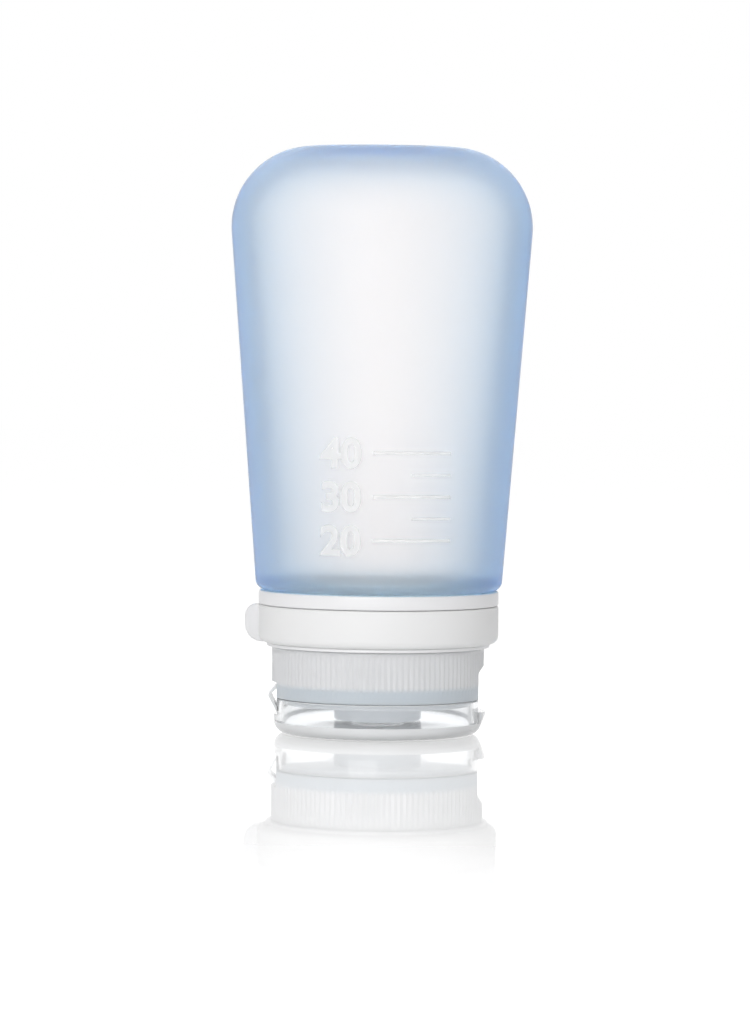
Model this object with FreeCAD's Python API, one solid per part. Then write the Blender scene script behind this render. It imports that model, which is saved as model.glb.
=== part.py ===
"""Squeezable silicone travel bottle that stands on its flip-top cap.

Millimetres, +Z up. The origin is on the bottle's axis, on the face of the closed lid that the
bottle stands on, so the cap is at the bottom and the flat end of the bottle is at the top.
The lid hinges at -X and opens from its lip at +X. The pull tab of the carry band is at -X.
"""

import FreeCAD
import Part
import math
import os

Vector = FreeCAD.Vector
AXIS_Z = Vector(0, 0, 1)
ORIGIN = Vector(0, 0, 0)

# Silicone bottle
mouth_radius = 13.0
neck_wall = 1.8
neck_lip_reach = 1.6
neck_lip_thickness = 1.6
shoulder_overhang = 0.6
shoulder_thickness = 3.0
shoulder_round = 1.8
shoulder_inner_round = 2.6
body_length = 79.5
body_wall = 2.5
end_wall = 3.0
end_width = 56.4        # across the flat end, before its edge is rounded
end_depth = 44.0
end_round = 14.4
round_limit_share = 0.95

# Rigid neck collar
neck_clearance = 0.1
sleeve_wall = 1.6
thread_length = 6.4
seat_step = 0.4         # the band seat stands proud of the cap wall
seat_height = 7.4
seat_wall = 1.6
bead_height = 0.3
bead_catch = 0.3
flange_thickness = 2.5
flange_web = 1.2
flange_edge_round = 0.35

# Carry band with its pull tab
band_clearance = 0.25
band_wall = 1.85
band_top_gap = 0.2
band_bottom_gap = 0.1
band_lower_round = 1.5
band_upper_round = 0.4
tab_reach = 2.4
tab_thickness = 2.2
tab_upper_round = 2.0
tab_lower_round = 3.1

# Screw cap
thread_room = 1.0
cap_wall = 1.6
cap_rim_gap = 0.3
cap_edge_round = 0.5
deck_thickness = 2.1
deck_drop = 1.3         # the deck reaches this far down into the lid
rib_count = 116
rib_depth = 0.25
rib_start = 2.1         # smooth skirt below the ribs
rib_land = 0.4          # smooth land between the ribs and the rim
boss_radius = 7.85
boss_gap = 0.3
outlet_radius = 5.2
valve_shelf = 1.0

# Slit valve, its retainer and the sealing washer
valve_flange_radius = 6.5
valve_flange = 1.0
valve_seat_clearance = 0.1
valve_dome_radius = 4.6
valve_dome_rise = 1.5
valve_skin = 0.6
slit_length = 6.0
slit_width = 0.15
retainer_clearance = 0.05
retainer_bore_gap = 0.4
retainer_recess = 0.2
washer_thickness = 0.6
washer_clearance = 0.3

# Flip lid
lid_inset = 0.15        # the lid is this much smaller than the cap's skirt all round
lid_height = 6.3
lid_plate = 1.8
lid_wall = 1.4
lid_edge_round = 2.2
seam_gap = 0.2
rim_clearance = 0.2     # between the lid's rim and the deck inside it
plug_clearance = 0.4
plug_wall = 0.9
plug_taper = 0.2
plug_gap = 0.2
lip_proud = 0.3
lip_width = 9.0
lip_edge = 0.5
lip_drop = 2.1          # the lip's upper face lies this far below the lid's rim
lip_slope_height = 2.0

# Thumb notch above the lip, and the pocket that the hinge strap lies in
notch_bite = 0.7
notch_height = 6.8
notch_slope = 1.4
pocket_bite = 0.6
pocket_height = 4.1
pocket_drop = 1.7

# Folded hinge strap between cap and lid
strap_width = 7.0
strap_thickness = 0.5
strap_root = 0.9
strap_end_gap = 0.3
fold_radius = 0.3
fold_reach = 0.4
fold_rise = 1.8

# Every cutting tool runs this far past the face that it cuts
overrun = 5.0

# Radii, from the mouth outwards
neck_radius = mouth_radius + neck_wall
sleeve_bore = neck_radius + neck_clearance
sleeve_radius = sleeve_bore + sleeve_wall
neck_lip_radius = neck_radius + neck_lip_reach
cap_bore = sleeve_radius + thread_room
cap_radius = cap_bore + cap_wall
seat_radius = cap_radius + seat_step
band_bore = seat_radius + band_clearance
band_radius = band_bore + band_wall
shoulder_radius = band_radius + shoulder_overhang
skirt_radius = cap_radius - rib_depth
lid_radius = skirt_radius - lid_inset
deck_radius = lid_radius - lid_wall - rim_clearance
notch_face = lid_radius - notch_bite
pocket_face = lid_radius - pocket_bite

# Heights, from the standing face upwards
skirt_low = lid_height + seam_gap
deck_low = skirt_low - deck_drop
deck_high = deck_low + deck_thickness
mouth_z = deck_high + washer_thickness
sleeve_low = mouth_z + neck_lip_thickness
seat_low = sleeve_low + thread_length
flange_low = seat_low + seat_height
shoulder_z = flange_low + flange_thickness
end_z = shoulder_z + body_length
cap_rim = seat_low - cap_rim_gap
rib_low = skirt_low + rib_start
rib_high = cap_rim - rib_land
boss_low = lid_plate + boss_gap
shelf_high = boss_low + valve_shelf
valve_high = shelf_high + valve_flange
retainer_high = deck_high - retainer_recess
lip_high = lid_height - lip_drop
fold_x = -(cap_radius + fold_reach)
fold_z = deck_low + fold_rise


def corner(before, at, after, radius):
    """Tangent points and middle of the arc that rounds one corner of an outline."""
    to_before = (before - at).normalize()
    to_after = (after - at).normalize()
    half_angle = to_before.getAngle(to_after) / 2
    setback = radius / math.tan(half_angle)
    bisector = (to_before + to_after).normalize()
    middle = at + bisector * (radius / math.sin(half_angle) - radius)
    return at + to_before * setback, middle, at + to_after * setback


def outline(points):
    """Closed wire in the XZ plane. A point is (x, z), or (x, z, radius) for a rounded corner."""
    places = [Vector(p[0], 0, p[1]) for p in points]
    radii = [p[2] if len(p) > 2 else 0 for p in points]
    ends = []
    for i, at in enumerate(places):
        if radii[i]:
            after = places[(i + 1) % len(places)]
            ends.append(corner(places[i - 1], at, after, radii[i]))
        else:
            ends.append((at, None, at))
    edges = []
    for i, (start, middle, finish) in enumerate(ends):
        if middle:
            edges.append(Part.Arc(start, middle, finish).toShape())
        following = ends[(i + 1) % len(ends)][0]
        if not finish.isEqual(following, Part.Precision.confusion()):
            edges.append(Part.LineSegment(finish, following).toShape())
    return Part.Wire(edges)


def revolved(points):
    """Ring or disc: an outline of radii and heights, turned about the bottle's axis."""
    return Part.Face(outline(points)).revolve(ORIGIN, AXIS_Z, 360)


def across(points, width):
    """Prism across the bottle: an outline in the XZ plane, as wide as given and centred on Y."""
    face = Part.Face(outline(points))
    face.translate(Vector(0, -width / 2, 0))
    return face.extrude(Vector(0, width, 0))


def upright(radius, low, high):
    """Cylinder on the bottle's axis."""
    return Part.makeCylinder(radius, high - low, Vector(0, 0, low), AXIS_Z)


def end_oval(height, half_width, half_depth):
    """Oval wire across the axis, and the radius of its tightest bend."""
    wide = max(half_width, half_depth)
    narrow = min(half_width, half_depth)
    oval = Part.Wire(Part.Ellipse(Vector(0, 0, height), wide, narrow).toShape())
    if half_depth > half_width:
        oval.rotate(ORIGIN, AXIS_Z, 90)
    return oval, narrow ** 2 / wide


def tapered_body(low, low_radius, high, half_width, half_depth, low_round, high_round):
    """Solid that runs from a round foot to an oval end, with both edges rounded."""
    foot_high = low + low_round
    foot = revolved([(0, low), (low_radius, low, low_round), (low_radius, foot_high), (0, foot_high)])
    ring = Part.Wire(Part.Circle(Vector(0, 0, foot_high), AXIS_Z, low_radius).toShape())
    oval, tightest = end_oval(high, half_width, half_depth)
    body = Part.makeLoft([ring, oval], True, True)
    lean = math.atan2(half_width - low_radius, high - foot_high)
    roomiest = tightest * math.tan((math.pi / 2 - lean) / 2)
    rims = [edge for edge in body.Edges if edge.BoundBox.ZMin > high - Part.Precision.confusion()]
    body = body.makeFillet(min(high_round, roomiest * round_limit_share), rims)
    return foot.fuse(body).removeSplitter()


def bottle_shell():
    """Silicone bottle: oval body, flat shoulder, and a neck whose lip turns out over the collar."""
    outside = tapered_body(
        shoulder_z, shoulder_radius, end_z, end_width / 2, end_depth / 2, shoulder_round, end_round
    )
    cavity = tapered_body(
        shoulder_z + shoulder_thickness,
        shoulder_radius - body_wall,
        end_z - end_wall,
        end_width / 2 - body_wall,
        end_depth / 2 - body_wall,
        shoulder_inner_round,
        end_round - body_wall,
    )
    neck = revolved([
        (mouth_radius, mouth_z),
        (neck_lip_radius, mouth_z),
        (neck_lip_radius, sleeve_low),
        (neck_radius, sleeve_low),
        (neck_radius, shoulder_z + shoulder_thickness / 2),
        (mouth_radius, shoulder_z + shoulder_thickness / 2),
    ])
    mouth = upright(mouth_radius, mouth_z, shoulder_z + shoulder_thickness + overrun)
    contents = cavity.fuse(mouth)
    print("capacity of the bottle, mL:", round(contents.Volume / 1000, 1))
    return outside.fuse(neck).cut(contents).removeSplitter()


def neck_collar():
    """Rigid collar: flange under the shoulder, band seat with its bead, and threaded sleeve."""
    core_radius = seat_radius - seat_wall
    bead_radius = band_bore + bead_catch
    return revolved([
        (sleeve_bore, sleeve_low),
        (sleeve_radius, sleeve_low),
        (sleeve_radius, shoulder_z - flange_web),
        (core_radius, shoulder_z - flange_web),
        (core_radius, seat_low),
        (bead_radius, seat_low),
        (bead_radius, seat_low + bead_height),
        (seat_radius, seat_low + bead_height),
        (seat_radius, flange_low),
        (band_radius, flange_low, flange_edge_round),
        (band_radius, shoulder_z, flange_edge_round),
        (sleeve_bore, shoulder_z),
    ])


def carry_band():
    """Soft band on the collar's seat, with a rounded pull tab."""
    low = seat_low + bead_height + band_bottom_gap
    high = flange_low - band_top_gap
    ring = revolved([
        (band_bore, low),
        (band_radius, low, band_lower_round),
        (band_radius, high, band_upper_round),
        (band_bore, high),
    ])
    tip = -(band_radius + tab_reach)
    root = -(band_bore + band_wall / 2)
    roomiest = min((high - low) / 2, root - tip) * round_limit_share
    tab = across(
        [
            (root, low),
            (tip, low, min(tab_lower_round, roomiest)),
            (tip, high, min(tab_upper_round, roomiest)),
            (root, high),
        ],
        tab_thickness,
    )
    return ring.fuse(tab).removeSplitter()


def rib_cutter():
    """Ring with toothed inside that leaves the cap's grip ribs standing."""
    points = []
    for i in range(2 * rib_count):
        turn = math.pi * i / rib_count
        radius = skirt_radius if i % 2 else cap_radius
        points.append(Vector(radius * math.cos(turn), radius * math.sin(turn), rib_low))
    points.append(points[0])
    toothed = Part.Face(Part.makePolygon(points)).extrude(Vector(0, 0, rib_high - rib_low))
    return upright(cap_radius + overrun, rib_low, rib_high).cut(toothed)


def thumb_notch():
    """Flat cut above the lid's lip that lets a thumb reach it, with a sloping upper end."""
    high = lip_high + notch_height + notch_slope
    return across(
        [
            (notch_face, lip_high),
            (cap_radius + overrun, lip_high),
            (cap_radius + overrun, high + overrun),
            (cap_radius, high),
            (notch_face, lip_high + notch_height),
        ],
        2 * cap_radius,
    )


def hinge_pocket():
    """Flat cut in the lid's and the cap's side where the hinge strap folds."""
    low = deck_low - pocket_drop
    return across(
        [
            (-pocket_face, low),
            (-pocket_face, deck_low + pocket_height),
            (-cap_radius - overrun, deck_low + pocket_height),
            (-cap_radius - overrun, low),
        ],
        2 * cap_radius,
    )


def screw_cap():
    """Translucent screw cap: ribbed skirt, deck, and a boss that holds the valve."""
    valve_bore = valve_flange_radius + valve_seat_clearance
    cap = revolved([
        (outlet_radius, boss_low),
        (boss_radius, boss_low, cap_edge_round),
        (boss_radius, deck_low),
        (deck_radius, deck_low, cap_edge_round),
        (deck_radius, skirt_low),
        (skirt_radius, skirt_low, cap_edge_round),
        (skirt_radius, rib_low),
        (cap_radius, rib_low),
        (cap_radius, cap_rim),
        (cap_bore, cap_rim),
        (cap_bore, deck_high),
        (valve_bore, deck_high),
        (valve_bore, shelf_high),
        (outlet_radius, shelf_high),
    ])
    return cap.cut(rib_cutter()).cut(thumb_notch()).cut(hinge_pocket())


def dispensing_valve():
    """Soft slit valve: a flange on the boss's shelf and a thin dome cut by a cross."""
    dome_foot = valve_high - valve_skin
    rim_low = Vector(valve_dome_radius, 0, dome_foot)
    rim_high = Vector(valve_dome_radius, 0, valve_high)
    crown_low = Vector(0, 0, dome_foot + valve_dome_rise)
    crown_high = Vector(0, 0, valve_high + valve_dome_rise)

    def dome_arc(rim, crown):
        rise = crown.z - rim.z
        sphere = (rim.x ** 2 + rise ** 2) / (2 * rise)
        half_way = math.asin(rim.x / sphere) / 2
        middle = Vector(sphere * math.sin(half_way), 0, crown.z - sphere * (1 - math.cos(half_way)))
        return Part.Arc(rim, middle, crown).toShape()

    corners = [
        rim_low,
        Vector(valve_dome_radius, 0, shelf_high),
        Vector(valve_flange_radius, 0, shelf_high),
        Vector(valve_flange_radius, 0, valve_high),
        rim_high,
    ]
    edges = [Part.LineSegment(a, b).toShape() for a, b in zip(corners, corners[1:])]
    edges.append(dome_arc(rim_high, crown_high))
    edges.append(Part.LineSegment(crown_high, crown_low).toShape())
    edges.append(dome_arc(rim_low, crown_low))
    section = Part.Face(Part.Wire(Part.__sortEdges__(edges)))
    valve = section.revolve(ORIGIN, AXIS_Z, 360)
    tall = valve_flange + valve_dome_rise + 2 * overrun
    for length, width in ((slit_length, slit_width), (slit_width, slit_length)):
        place = Vector(-length / 2, -width / 2, shelf_high - overrun)
        valve = valve.cut(Part.makeBox(length, width, tall, place))
    return valve


def valve_retainer():
    """Ring pressed into the boss behind the valve."""
    bore = valve_dome_radius + retainer_bore_gap
    radius = valve_flange_radius + valve_seat_clearance - retainer_clearance
    return revolved([
        (bore, valve_high),
        (radius, valve_high),
        (radius, retainer_high),
        (bore, retainer_high),
    ])


def sealing_washer():
    """Flat washer between the cap's deck and the lip of the neck."""
    return revolved([
        (mouth_radius + washer_clearance, deck_high),
        (cap_bore - washer_clearance, deck_high),
        (cap_bore - washer_clearance, mouth_z),
        (mouth_radius + washer_clearance, mouth_z),
    ])


def flip_lid():
    """Clear lid that the bottle stands on: shallow cup, sealing plug and thumb lip."""
    plug_radius = outlet_radius - plug_clearance
    plug_high = shelf_high - plug_gap
    plug_bore = plug_radius - plug_taper - plug_wall
    lid = revolved([
        (0, 0),
        (lid_radius, 0, lid_edge_round),
        (lid_radius, lid_height),
        (lid_radius - lid_wall, lid_height),
        (lid_radius - lid_wall, lid_plate),
        (plug_radius, lid_plate),
        (plug_radius - plug_taper, plug_high),
        (plug_bore, plug_high),
        (plug_bore, lid_plate),
        (0, lid_plate),
    ])
    lip_tip = cap_radius + lip_proud
    lip = revolved([
        (lid_radius - lid_wall / 2, lip_high),
        (lid_radius - lid_wall / 2, lip_high - lip_edge - lip_slope_height),
        (lip_tip, lip_high - lip_edge),
        (lip_tip, lip_high),
    ])
    lip_window = Part.makeBox(
        lip_tip + overrun, lip_width, lid_height, Vector(0, -lip_width / 2, 0)
    )
    lid = lid.cut(thumb_notch()).cut(hinge_pocket())
    return lid.fuse(lip.common(lip_window)).removeSplitter()


def hinge_strap():
    """Folded film hinge: one arm to the cap, one to the lid, meeting in a round fold."""
    wall = -pocket_face
    cap_root = deck_low + pocket_height - strap_end_gap
    lid_root = deck_low - pocket_drop + strap_end_gap
    inner = fold_x + strap_thickness / 2
    outer = fold_x - strap_thickness / 2
    cap_arm = across(
        [(wall, cap_root), (outer, fold_z), (inner, fold_z), (wall, cap_root - strap_root)],
        strap_width,
    )
    lid_arm = across(
        [(wall, lid_root), (outer, fold_z), (inner, fold_z), (wall, lid_root + strap_root)],
        strap_width,
    )
    fold_start = Vector(fold_x, -strap_width / 2, fold_z)
    fold = Part.makeCylinder(fold_radius, strap_width, fold_start, Vector(0, 1, 0))
    return cap_arm.fuse([lid_arm, fold]).removeSplitter()


PIECES = (
    bottle_shell,
    neck_collar,
    carry_band,
    screw_cap,
    dispensing_valve,
    valve_retainer,
    sealing_washer,
    flip_lid,
    hinge_strap,
)


def main():
    os.makedirs("parts", exist_ok=True)
    for piece in PIECES:
        shape = piece()
        shape.exportStep(os.path.join("parts", piece.__name__ + ".step"))
        print(piece.__name__, len(shape.Solids), "solid", shape.isValid(), round(shape.Volume, 1), "mm3")


main()
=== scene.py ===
"""Silicone travel bottle on its flip-top cap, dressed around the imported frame.

Pieces are drawn in millimetres and finished in metres. +Z is up, the bottle stands on its closed
lid, the lid's lip is at +X, its hinge and the band's pull tab are at -X, and the viewer is at -Y.
"""

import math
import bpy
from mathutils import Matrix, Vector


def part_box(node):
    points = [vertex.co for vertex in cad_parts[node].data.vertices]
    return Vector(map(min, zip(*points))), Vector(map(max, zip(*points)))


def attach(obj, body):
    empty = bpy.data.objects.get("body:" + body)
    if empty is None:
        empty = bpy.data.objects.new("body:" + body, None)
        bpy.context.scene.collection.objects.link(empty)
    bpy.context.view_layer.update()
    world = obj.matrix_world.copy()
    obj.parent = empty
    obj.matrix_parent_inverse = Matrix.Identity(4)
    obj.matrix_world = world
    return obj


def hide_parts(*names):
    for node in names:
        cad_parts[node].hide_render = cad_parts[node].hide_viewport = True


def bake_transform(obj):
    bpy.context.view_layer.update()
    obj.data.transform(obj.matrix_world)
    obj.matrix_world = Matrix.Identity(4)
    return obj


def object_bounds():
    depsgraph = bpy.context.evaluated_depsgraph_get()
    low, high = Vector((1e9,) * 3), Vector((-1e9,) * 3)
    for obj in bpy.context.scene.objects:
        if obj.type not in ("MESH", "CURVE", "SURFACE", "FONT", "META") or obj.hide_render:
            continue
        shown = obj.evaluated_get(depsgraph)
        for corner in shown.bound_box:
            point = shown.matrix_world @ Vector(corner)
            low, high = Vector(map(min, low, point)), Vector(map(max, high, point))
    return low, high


bl_info = {
    "name": "Silicone Travel Bottle",
    "version": (1, 0, 0),
    "blender": (4, 5, 0),
    "location": "View3D > Sidebar > Travel Bottle",
    "description": "Squeeze bottle with a ribbed flip-top cap, a carry band and a plain studio",
    "category": "Object",
}

import bmesh
import bpy
from bpy.props import FloatProperty, FloatVectorProperty, IntProperty, PointerProperty
from mathutils import Matrix, Vector

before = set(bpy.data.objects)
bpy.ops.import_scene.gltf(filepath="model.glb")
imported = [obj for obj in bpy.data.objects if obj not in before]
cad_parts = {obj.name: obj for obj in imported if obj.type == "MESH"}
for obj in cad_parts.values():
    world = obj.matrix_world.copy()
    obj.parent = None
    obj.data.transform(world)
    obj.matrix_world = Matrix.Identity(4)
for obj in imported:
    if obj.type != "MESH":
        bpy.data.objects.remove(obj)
cad_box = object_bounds()

MM = 1000.0
MERGE = 1e-4
ROUND_STEPS = 5
TURN_STEPS = 192
THREAD_LIFT = 0.65
THREAD_LAND = 0.2
THREAD_FLANK = 0.6
THREAD_SINK = 0.05

shell_low, shell_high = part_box("bottle_shell")
collar_low, collar_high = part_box("neck_collar")
band_low, band_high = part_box("carry_band")
cap_low, cap_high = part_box("screw_cap")
valve_low, valve_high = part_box("dispensing_valve")
ring_low, ring_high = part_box("valve_retainer")
washer_low, washer_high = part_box("sealing_washer")
lid_low, lid_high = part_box("flip_lid")
strap_low, strap_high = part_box("hinge_strap")


def number(name, description, default, **kind):
    """Plain number setting."""
    return FloatProperty(name=name, description=description, default=default, **kind)


def length(name, description, default):
    """Length setting, in metres."""
    return number(name, description, default, min=0.0, unit="LENGTH", precision=5)


def share(name, description, default):
    """Setting between none and all."""
    return number(name, description, default, min=0.0, max=1.0, subtype="FACTOR")


def count(name, description, default):
    """Setting in whole numbers."""
    return IntProperty(name=name, description=description, default=default, min=1)


def tint(name, description, default):
    """Colour setting."""
    return FloatVectorProperty(
        name=name, description=description, default=default, size=3, min=0.0, max=1.0, subtype="COLOR"
    )


class BottleSettings(bpy.types.PropertyGroup):
    mouth_radius: length("Mouth radius", "Bore of the neck", 0.0130)
    neck_radius: length("Neck radius", "Outside of the neck", 0.0148)
    lip_radius: length("Lip radius", "Lip that turns out over the collar's end", 0.0164)
    lip_height: length("Lip height", "Thickness of that lip", 0.0015)
    shoulder_radius: length("Shoulder radius", "Body at its round foot", 0.0222)
    shoulder_height: length("Shoulder height", "Thickness of the foot", 0.0007)
    shoulder_round: length("Shoulder rounding", "Outer edge of the foot", 0.0018)
    floor_round: length("Floor rounding", "Inner edge of the foot", 0.0038)
    end_width: length("End width", "Flat end before its edge is rounded", 0.0564)
    end_depth: length("End depth", "Flat end before its edge is rounded", 0.0440)
    end_round: length("End rounding", "Edge of the flat end", 0.0144)
    side_wall: length("Side wall", "Thickness of the wall at the bottle's sides", 0.0032)
    front_wall: length("Front wall", "Thickness of the wall at the front and the back", 0.0010)
    front_inset: length("Front inset", "Room for the fill scale within the bottle's depth", 0.00025)
    end_wall: length("End wall", "Thickness of the flat end", 0.0030)
    colour: tint("Silicone", "Surface of the silicone", (1.0, 0.946, 0.916))
    # Painted light: the foot is painted bluer and brighter than the silicone, for the blue light seen through
    # it there.
    foot_painted_light: tint("Silicone foot", "Surface of the silicone near its foot", (0.98, 1.0, 1.0))
    depth_colour: tint("Silicone depth", "What thick silicone lets through", (0.10, 0.60, 0.97))
    density: number("Tint density", "How fast thick silicone darkens", 96.0, min=0.0)
    clearness: share("Silicone clearness", "Share of light that the silicone lets through", 0.80)
    bending: number("Refraction", "How strongly the silicone bends light", 1.2, min=1.0)
    frost: share("Frost", "Roughness of the silicone", 0.36)


class ScaleSettings(bpy.types.PropertyGroup):
    numeral_height: length("Numeral height", "Raised numbers of the fill scale", 0.0050)
    proud: length("Proud", "How far the scale stands out of the wall", 0.0002)
    first_mark: length("First mark", "Height of the lowest numbered mark", 0.0355)
    mark_step: length("Mark step", "Height between two numbered marks", 0.00765)
    first_number: count("First number", "Millilitres at the lowest mark", 20)
    number_step: count("Number step", "Millilitres between marks", 10)
    marks: count("Marks", "How many numbered marks", 3)
    colour: tint("Scale", "Polished silicone of the scale", (1.0, 1.0, 1.0))


class CollarSettings(bpy.types.PropertyGroup):
    sleeve_bore: length("Sleeve bore", "Inside of the threaded sleeve", 0.0149)
    sleeve_radius: length("Sleeve radius", "Threaded sleeve without its thread", 0.0165)
    core_radius: length("Core radius", "Hollow behind the band's seat", 0.0179)
    seat_radius: length("Seat radius", "Seat that the band turns on", 0.0195)
    bead_radius: length("Bead radius", "Bead that keeps the band on its seat", 0.02005)
    seat_low: length("Seat height", "Lower end of the seat", 0.0157)
    flange_low: length("Flange height", "Lower face of the flange", 0.0232)
    thread_reach: length("Thread reach", "How far the thread stands off the sleeve", 0.0007)
    thread_pitch: length("Thread pitch", "Rise of the thread in one turn", 0.0040)
    colour: tint("Collar", "Rigid white collar", (0.86, 0.86, 0.87))
    # Painted tint: the collar's white is painted blue where silicone covers it, for the light that comes
    # through the silicone.
    seat_painted_tint: tint("Collar seat", "Faces of the collar that the silicone tints", (0.85, 0.96, 1.0))


class BandSettings(bpy.types.PropertyGroup):
    bore: length("Band bore", "Inside of the carry band", 0.01975)
    lower_round: length("Lower rounding", "Lower outer edge of the band", 0.0015)
    upper_round: length("Upper rounding", "Upper outer edge of the band", 0.0004)
    tab_thickness: length("Tab thickness", "Pull tab across", 0.0022)
    tab_upper_round: length("Upper tab rounding", "Upper corner of the pull tab", 0.0020)
    tab_lower_round: length("Lower tab rounding", "Lower corner of the pull tab", 0.0031)
    colour: tint("Band", "Soft white band", (0.86, 0.86, 0.86))
    # Painted shade: the pull tab is painted greyer than the band, though both are the same white rubber.
    tab_painted_shade: tint("Tab", "Thin pull tab", (0.75, 0.75, 0.76))


class CapSettings(bpy.types.PropertyGroup):
    bore: length("Cap bore", "Inside of the ribbed wall", 0.0175)
    skirt_radius: length("Skirt radius", "Smooth skirt below the ribs", 0.01885)
    skirt_low: length("Skirt height", "Lower end of the skirt, above the lid's rim", 0.0065)
    deck_radius: length("Deck radius", "Deck inside the lid's rim", 0.0171)
    deck_low: length("Deck height", "Lower face of the deck", 0.0052)
    deck_high: length("Deck top", "Upper face of the deck", washer_low.z)
    rib_low: length("Rib start", "Lower end of the grip ribs", 0.0086)
    rib_high: length("Rib end", "Upper end of the grip ribs", 0.0152)
    rib_count: count("Ribs", "Grip ribs round the cap", 116)
    rib_depth: length("Rib depth", "Crest to valley", 0.00017)
    boss_radius: length("Boss radius", "Boss that holds the valve", 0.00785)
    outlet_radius: length("Outlet radius", "Hole in the boss", 0.0052)
    valve_bore: length("Valve bore", "Pocket that the valve lies in", 0.0066)
    shelf_high: length("Shelf height", "Shelf that the valve lies on", valve_low.z)
    notch_face: length("Notch face", "Thumb flat, from the axis", 0.0180)
    notch_high: length("Notch height", "Upper end of the thumb flat", 0.0110)
    notch_slope: length("Notch slope", "Slope above the thumb flat", 0.0014)
    pocket_face: length("Pocket face", "Hinge flat, from the axis", 0.0181)
    pocket_low: length("Pocket foot", "Lower end of the hinge flat", 0.0035)
    pocket_high: length("Pocket height", "Upper end of the hinge flat", 0.0093)
    colour: tint("Cap", "Milky plastic", (0.875, 0.885, 0.905))
    # Painted tint: the cap is painted darker and bluer low down, for the neck's blue lip seen through it.
    lower_painted_tint: tint("Cap foot", "Milky plastic with the neck's lip behind it", (0.70, 0.765, 0.825))
    # Painted light: the boss and the deck are painted lighter than the cap, against the shade under the lid.
    boss_painted_light: tint("Boss", "Valve boss and deck under the lid", (0.92, 0.95, 0.98))
    milk: share("Clearness", "Share of light that the cap lets through", 0.18)
    softness: share("Cap roughness", "Roughness of the cap", 0.30)


class LidSettings(bpy.types.PropertyGroup):
    wall: length("Lid wall", "Thickness of the lid's side", 0.0014)
    plate: length("Lid plate", "Thickness of the plate that the bottle stands on", 0.0018)
    edge_round: length("Lid rounding", "Lower edge of the lid", 0.0022)
    plug_radius: length("Plug radius", "Plug that closes the outlet", 0.0048)
    plug_bore: length("Plug bore", "Hollow of the plug", 0.0037)
    plug_high: length("Plug height", "Upper end of the plug", 0.0029)
    lip_width: length("Lip width", "Thumb lip across", 0.0090)
    lip_low: length("Lip foot", "Where the lip starts to stand out", 0.0017)
    lip_edge: length("Lip edge", "Thickness of the lip at its tip", 0.0005)
    lip_high: length("Lip height", "Upper face of the lip", 0.0042)
    colour: tint("Lid", "Clear lid", (0.95, 0.96, 0.97))
    hazy_colour: tint("Lid edges", "Rim, lower edge, lip and hinge", (0.91, 0.92, 0.93))
    haze: share("Edge clearness", "Share of light that the lid's edges let through", 0.25)
    clearness: share("Lid clearness", "Share of light that the lid lets through", 0.99)
    polish: share("Lid roughness", "Roughness of the lid", 0.08)


class SealSettings(bpy.types.PropertyGroup):
    dome_radius: length("Dome radius", "Valve's dome across its foot", 0.0046)
    flange: length("Flange", "Thickness of the valve's flange", 0.0010)
    skin: length("Skin", "Thickness of the valve's dome", 0.0006)
    slit_length: length("Slit length", "Each of the two crossed slits", 0.0060)
    slit_width: length("Slit width", "Each of the two crossed slits", 0.00015)
    ring_bore: length("Ring bore", "Inside of the ring behind the valve", 0.0050)
    washer_bore: length("Washer bore", "Inside of the neck's washer", 0.0133)
    colour: tint("Seals", "Valve and washer", (0.84, 0.85, 0.86))


class StudioSettings(bpy.types.PropertyGroup):
    distance: length("Camera distance", "From the bottle's axis", 0.720)
    height: length("Camera height", "Above the standing face", 0.064)
    aim_height: length("Aim height", "Point on the axis that the camera looks at", 0.03897)
    aside: number("Camera aside", "Camera's place along X", -0.0008, unit="LENGTH", precision=5)
    focal: number("Focal length", "Lens, in millimetres", 139.5, unit="CAMERA", min=1.0)
    roll: number("Roll", "Tilt of the camera", math.radians(0.55), subtype="ANGLE")
    sky: share("Sky", "Light from all round", 0.46)
    flanks: share("Flanks", "What glossy and clear pieces see beside and above", 0.62)
    key: number("Key light", "Soft lamp at upper left", 5.0, unit="POWER")
    back: number("Back light", "Soft lamp behind", 0.36, unit="POWER")
    top: number("Top light", "Soft lamp above", 1.6, unit="POWER")
    floor_gloss: share("Floor gloss", "Mirror share of the floor at the bottle's foot", 0.55)


class BottleProject(bpy.types.PropertyGroup):
    bottle: PointerProperty(type=BottleSettings)
    scale: PointerProperty(type=ScaleSettings)
    collar: PointerProperty(type=CollarSettings)
    band: PointerProperty(type=BandSettings)
    cap: PointerProperty(type=CapSettings)
    lid: PointerProperty(type=LidSettings)
    seals: PointerProperty(type=SealSettings)
    studio: PointerProperty(type=StudioSettings)


def spanned(low, high):
    """Lower end, upper end and radius of a turned node's box, in millimetres."""
    return low.z * MM, high.z * MM, high.y * MM


class Drawn:
    """Lengths of a settings group, read in the millimetres that pieces are drawn in."""

    def __init__(self, settings):
        self.settings = settings

    def __getattr__(self, name):
        return getattr(self.settings, name) * MM


def read(context, group):
    """A group's settings, and its lengths in millimetres."""
    settings = getattr(context.scene.travel_bottle, group)
    return settings, Drawn(settings)


def picked(items, kind):
    """Those of a drawing step's results that are of one kind."""
    return [item for item in items if isinstance(item, kind)]


def rounded(bm, geom, offset, segments, affect, clamp=True):
    """Round corners or edges of a drawing."""
    bmesh.ops.bevel(
        bm,
        geom=geom,
        offset=offset,
        offset_type="OFFSET",
        segments=segments,
        profile=0.5,
        affect=affect,
        clamp_overlap=clamp,
        material=-1,
    )


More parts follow.
